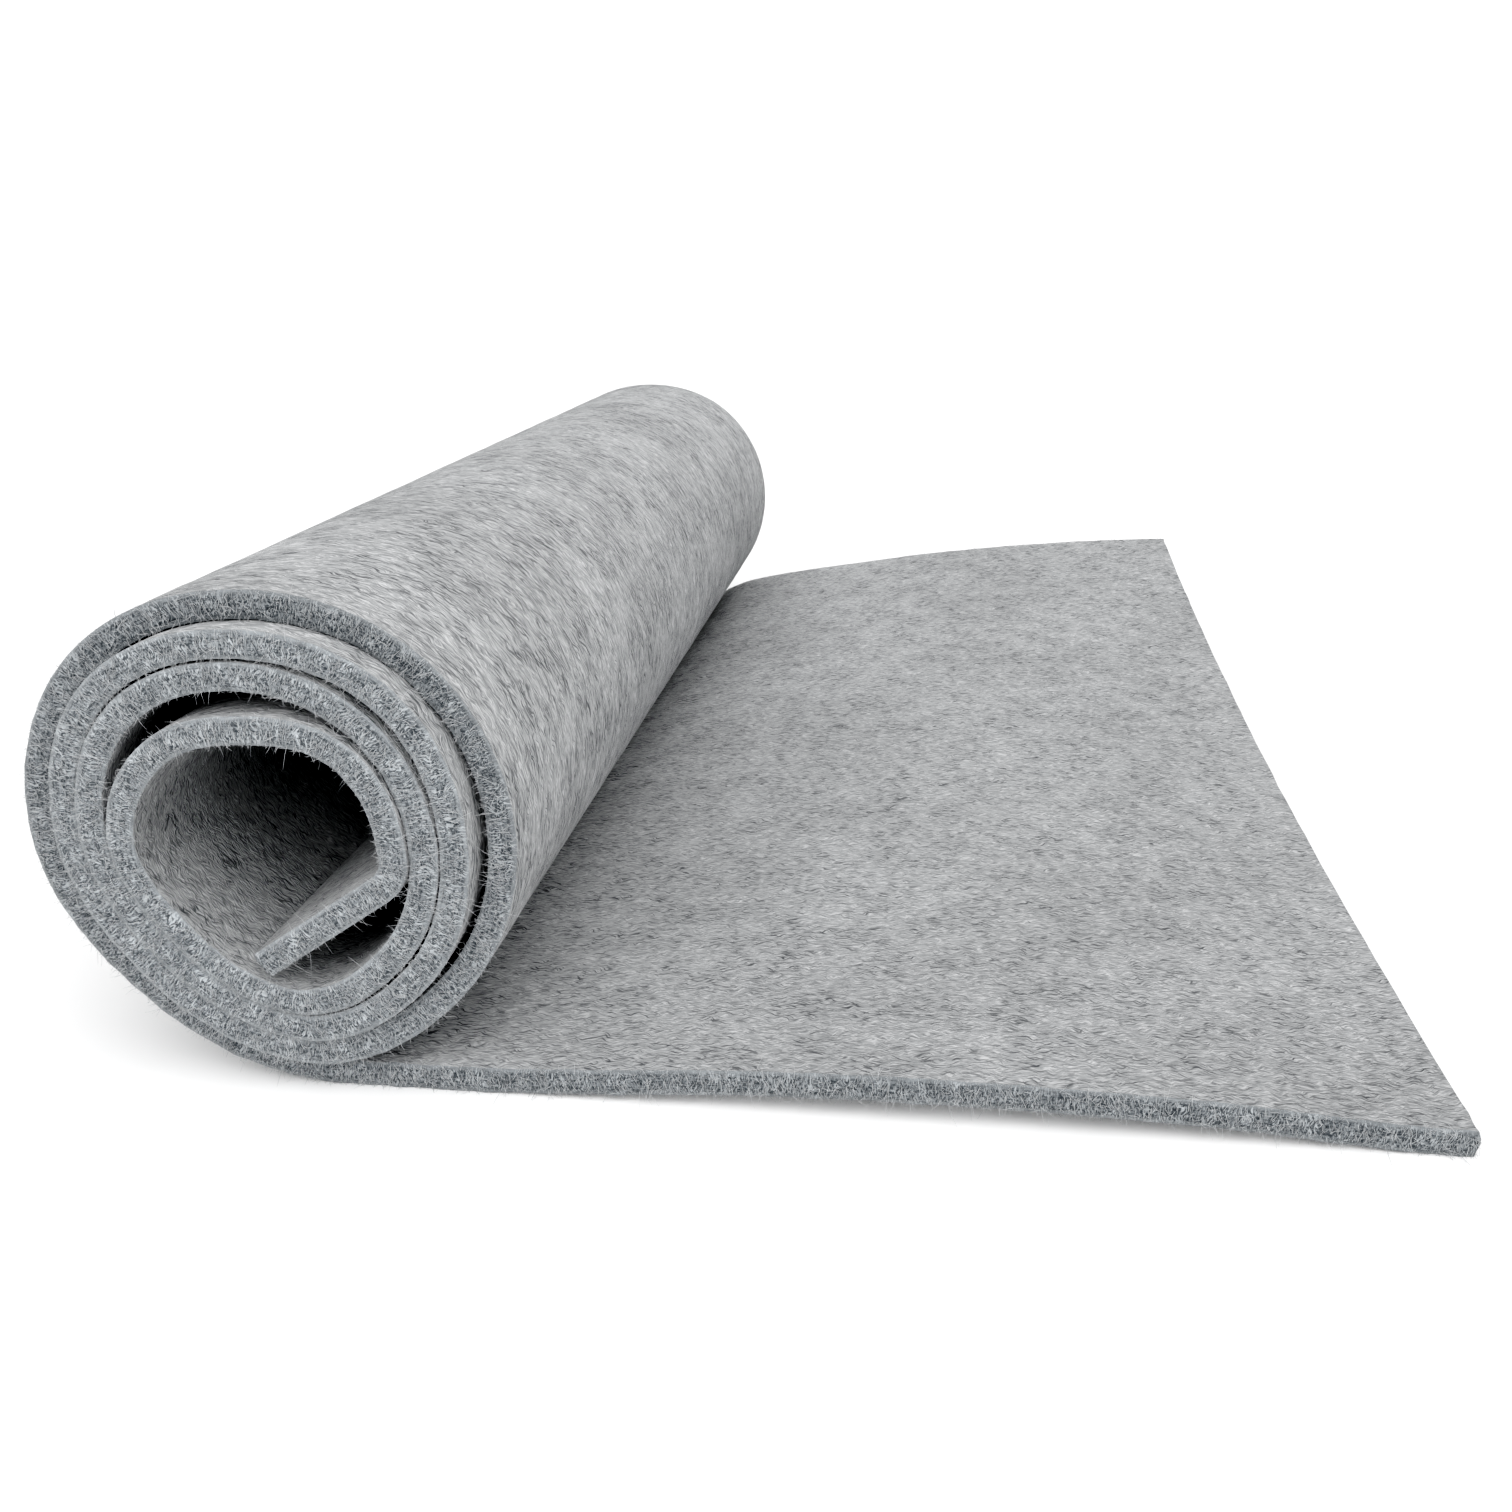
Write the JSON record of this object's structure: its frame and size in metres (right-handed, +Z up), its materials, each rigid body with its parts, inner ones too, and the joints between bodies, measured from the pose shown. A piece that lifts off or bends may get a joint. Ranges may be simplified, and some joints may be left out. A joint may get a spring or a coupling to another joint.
{
  "type": "roll of felt",
  "caption": "Partly unrolled roll of thick grey felt, with a loose end lying to one side and an open core.",
  "frame": {"origin": "on the surface, within the flat strip under the sheet that the part rests on, half way along the roll", "axes": "+Z up, +Y along the roll's axis away from the end that shows its spiral squarely, +X from the roll towards the free end of the sheet"},
  "size_m": [0.233, 0.3358, 0.0867],
  "materials": {
    "felt": "matt needled wool-like felt, heathered grey"
  },
  "bodies": {
    "root": {"felt": "felt"}
  },
  "joints": []
}
